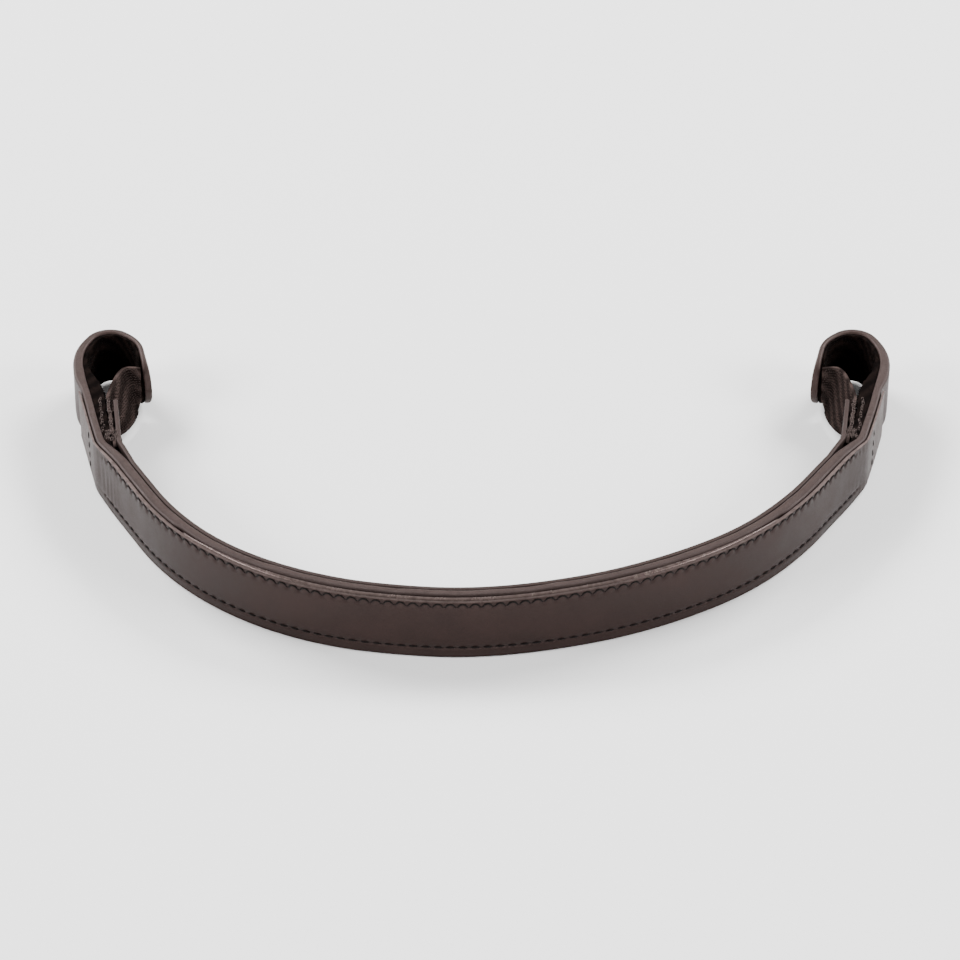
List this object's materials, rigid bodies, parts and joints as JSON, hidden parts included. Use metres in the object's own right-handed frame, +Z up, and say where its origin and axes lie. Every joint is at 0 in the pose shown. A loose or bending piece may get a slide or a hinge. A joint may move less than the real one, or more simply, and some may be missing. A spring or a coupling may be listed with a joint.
{
  "type": "bridle browband",
  "caption": "Raised U-shaped leather strap standing on edge, with a hook-and-loop closing loop at each end that wraps round a bridle's headpiece.",
  "frame": {"origin": "under the middle of the whole band, at the height of the base strap's lower edge", "axes": "+X along the width of the U, +Y from the forehead side towards the open end and its loops, +Z up, along the height of the strap"},
  "size_m": [0.2548, 0.1436, 0.02],
  "materials": {
    "facing_leather": "satin",
    "strap_leather": "satin",
    "lining_leather": "matte",
    "pile_tape": "matte",
    "hook_tape": "matte",
    "thread": "matte"
  },
  "bodies": {
    "band": {"facing_strap": "facing_leather", "base_strap": "strap_leather", "lining_strap": "lining_leather", "raised_filler": "strap_leather", "upper_stitching": "thread", "lower_stitching": "thread", "left_loop_lining": "pile_tape", "left_hook_tab": "hook_tape", "left_facing_stitching": "thread", "left_tongue_stitching": "thread", "left_throat_stitching": "thread", "right_loop_lining": "pile_tape", "right_hook_tab": "hook_tape", "right_facing_stitching": "thread", "right_tongue_stitching": "thread", "right_throat_stitching": "thread"},
    "left_flap": {"left_flap": "strap_leather", "left_flap_lining": "pile_tape"},
    "right_flap": {"right_flap": "strap_leather", "right_flap_lining": "pile_tape"}
  },
  "joints": [
    {"name": "left_flap_open", "type": "hinge", "parent": "band", "child": "left_flap", "pos_m": [-0.11676, 0.07176, 0.01], "axis": [0, 0, 1], "range_deg": [0, 110]},
    {"name": "right_flap_open", "type": "hinge", "parent": "band", "child": "right_flap", "pos_m": [0.11676, 0.07176, 0.01], "axis": [0, 0, -1], "range_deg": [0, 110]}
  ]
}
